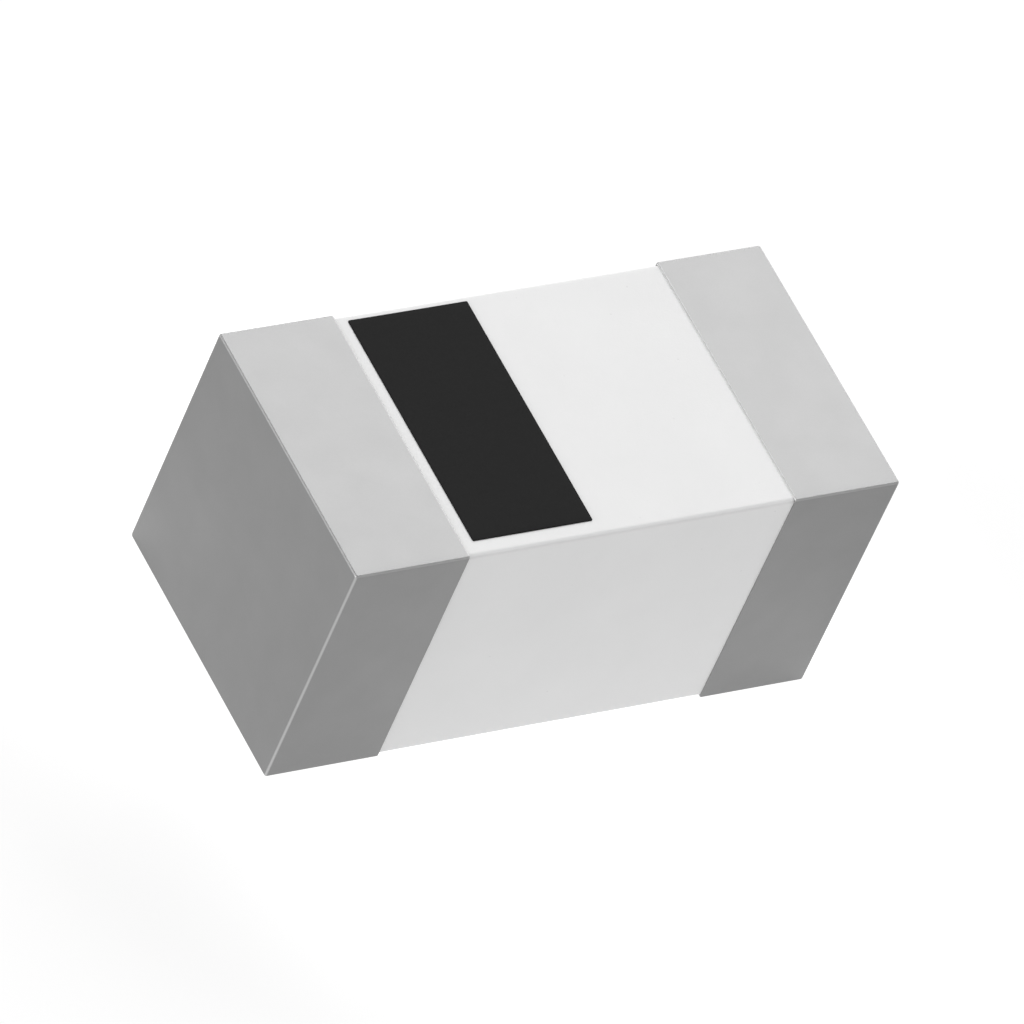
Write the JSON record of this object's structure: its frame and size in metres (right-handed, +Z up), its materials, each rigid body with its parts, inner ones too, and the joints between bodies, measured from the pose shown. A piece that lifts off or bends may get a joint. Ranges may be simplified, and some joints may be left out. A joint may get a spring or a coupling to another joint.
{
  "type": "smd inductor",
  "caption": "Rectangular white ceramic chip with a printed coil inside, a plated metal cap on each end and a black direction mark on top, soldered flat onto a circuit board.",
  "frame": {"origin": "centre of the chip, midway between opposite faces of the end caps", "axes": "+X along the chip, away from the marked end; +Y across it; +Z up, out of the marked face"},
  "size_m": [0.0016, 0.0008, 0.0008],
  "materials": {
    "glass_ceramic": "matte",
    "mark_ink": "matte",
    "fired_silver": "matte",
    "plated_nickel": "satin",
    "plated_tin": "matte"
  },
  "bodies": {
    "root": {"ceramic_body": "glass_ceramic", "direction_mark": "mark_ink", "left_silver_base": "fired_silver", "left_nickel_barrier": "plated_nickel", "left_tin_plating": "plated_tin", "right_silver_base": "fired_silver", "right_nickel_barrier": "plated_nickel", "right_tin_plating": "plated_tin", "coil_pattern_01": "fired_silver", "coil_pattern_02": "fired_silver", "coil_pattern_03": "fired_silver", "coil_pattern_04": "fired_silver", "coil_pattern_05": "fired_silver", "coil_pattern_06": "fired_silver", "coil_pattern_07": "fired_silver", "coil_pattern_08": "fired_silver", "coil_pattern_09": "fired_silver", "coil_pattern_10": "fired_silver", "coil_pattern_11": "fired_silver", "coil_pattern_12": "fired_silver"}
  },
  "joints": []
}
